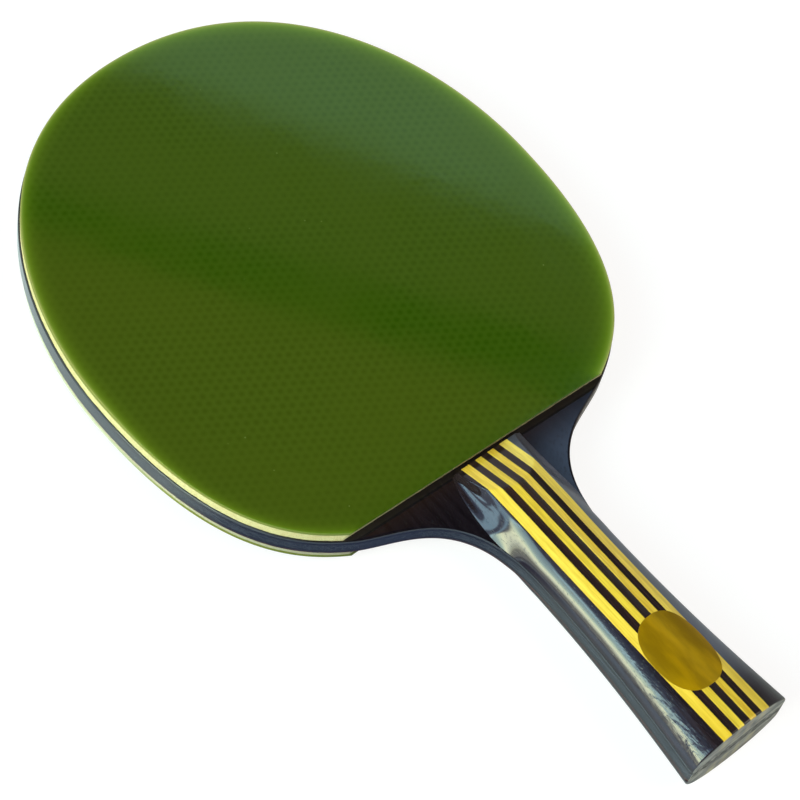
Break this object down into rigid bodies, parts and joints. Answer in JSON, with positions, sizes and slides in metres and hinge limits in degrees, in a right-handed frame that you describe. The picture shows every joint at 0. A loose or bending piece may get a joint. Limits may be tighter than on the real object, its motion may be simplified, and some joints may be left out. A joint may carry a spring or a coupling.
{
  "type": "table tennis bat",
  "caption": "Table tennis bat with a rounded head, glossy green pimples-in rubbers on cream sponge, a dark plywood blade and a flared handle glued up from yellow and dark strips.",
  "frame": {"origin": "centre of the butt's flat end face, halfway through the blade's thickness", "axes": "+Y from the butt to the tip of the head, +Z out of the front side that carries the badge, +X to the right seen from the front"},
  "size_m": [0.1508, 0.2603, 0.0234],
  "materials": {
    "green_rubber": "gloss natural rubber, slightly translucent",
    "sponge": "matt cut foam",
    "face_wood": "lacquered black-brown veneer",
    "edge_wood": "sanded slate veneer edge",
    "core_wood": "sanded stained core",
    "yellow_wood": "lacquered dyed veneer",
    "dark_wood": "lacquered stained hardwood",
    "gold_foil": "gold metallised film"
  },
  "bodies": {
    "root": {"core_ply": "core_wood", "front_inner_ply": "edge_wood", "back_inner_ply": "edge_wood", "front_face_ply": "face_wood", "back_face_ply": "face_wood", "front_sponge": "sponge", "back_sponge": "sponge", "front_topsheet": "green_rubber", "back_topsheet": "green_rubber", "front_yellow_strip_1": "yellow_wood", "front_yellow_strip_2": "yellow_wood", "front_yellow_strip_3": "yellow_wood", "front_yellow_strip_4": "yellow_wood", "front_dark_strip_1": "dark_wood", "front_dark_strip_2": "dark_wood", "front_dark_strip_3": "dark_wood", "front_cheek_left": "dark_wood", "front_cheek_right": "dark_wood", "back_yellow_strip_1": "yellow_wood", "back_yellow_strip_2": "yellow_wood", "back_yellow_strip_3": "yellow_wood", "back_yellow_strip_4": "yellow_wood", "back_dark_strip_1": "dark_wood", "back_dark_strip_2": "dark_wood", "back_dark_strip_3": "dark_wood", "back_cheek_left": "dark_wood", "back_cheek_right": "dark_wood", "handle_badge": "gold_foil"}
  },
  "joints": []
}
